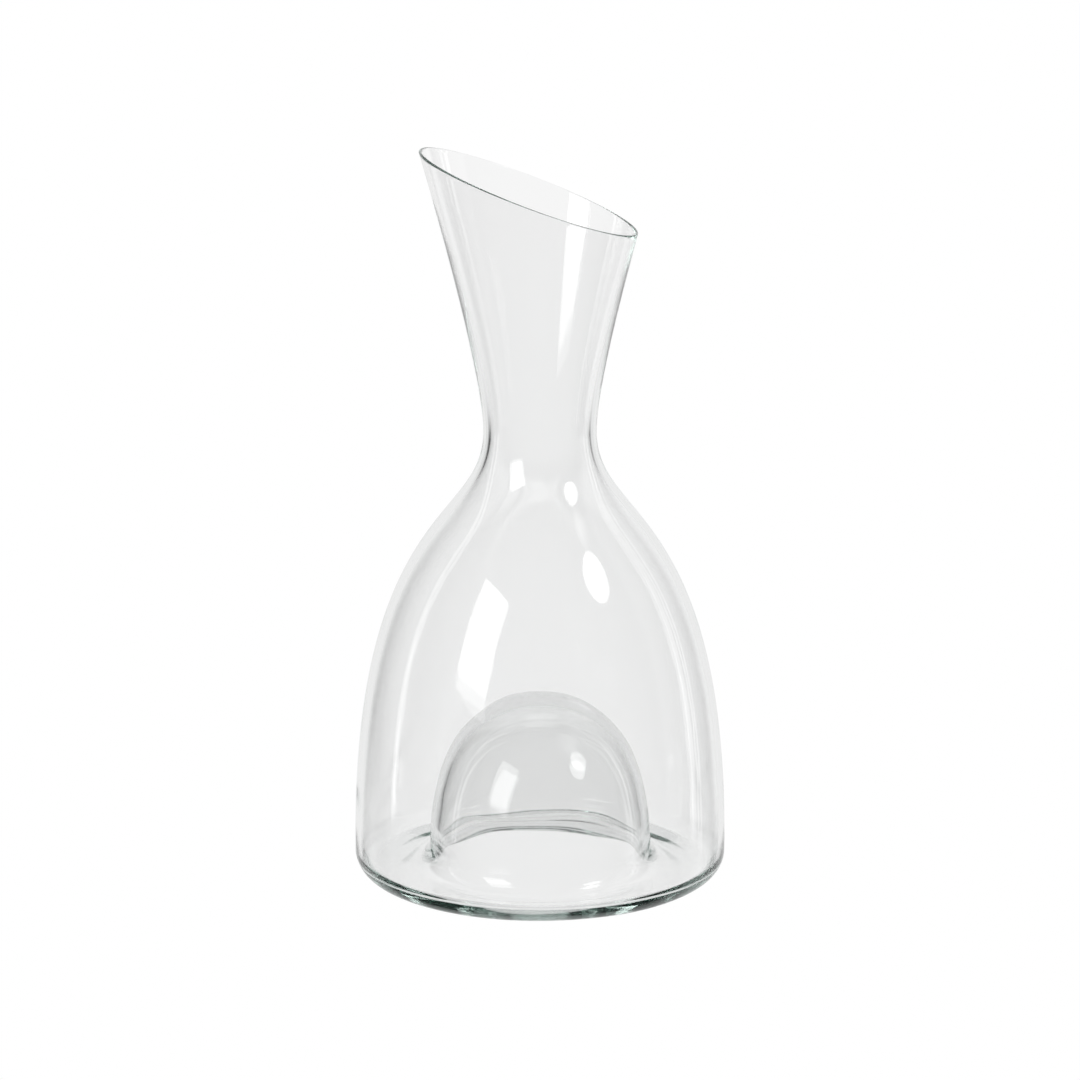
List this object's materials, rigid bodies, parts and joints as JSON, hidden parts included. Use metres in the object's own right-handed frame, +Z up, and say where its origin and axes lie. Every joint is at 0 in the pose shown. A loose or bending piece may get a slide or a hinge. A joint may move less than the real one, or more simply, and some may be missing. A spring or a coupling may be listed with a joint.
{
  "type": "wine decanter",
  "caption": "Clear glass decanter: bell-shaped bowl with a hollow domed punt, narrow throat, and flared neck cut on a slant to form a high pouring lip.",
  "frame": {"origin": "centre of the flat ring that the decanter stands on", "axes": "+Z up the decanter's axis to the mouth; -X towards the high pouring lip; +Y to its left, level"},
  "size_m": [0.15, 0.15, 0.2939],
  "materials": {
    "clear_glass": "fire-polished clear soda-lime glass, faintly green where it is thick"
  },
  "bodies": {
    "root": {"neck": "clear_glass", "shoulder": "clear_glass", "bowl": "clear_glass", "base": "clear_glass", "punt": "clear_glass"}
  },
  "joints": []
}
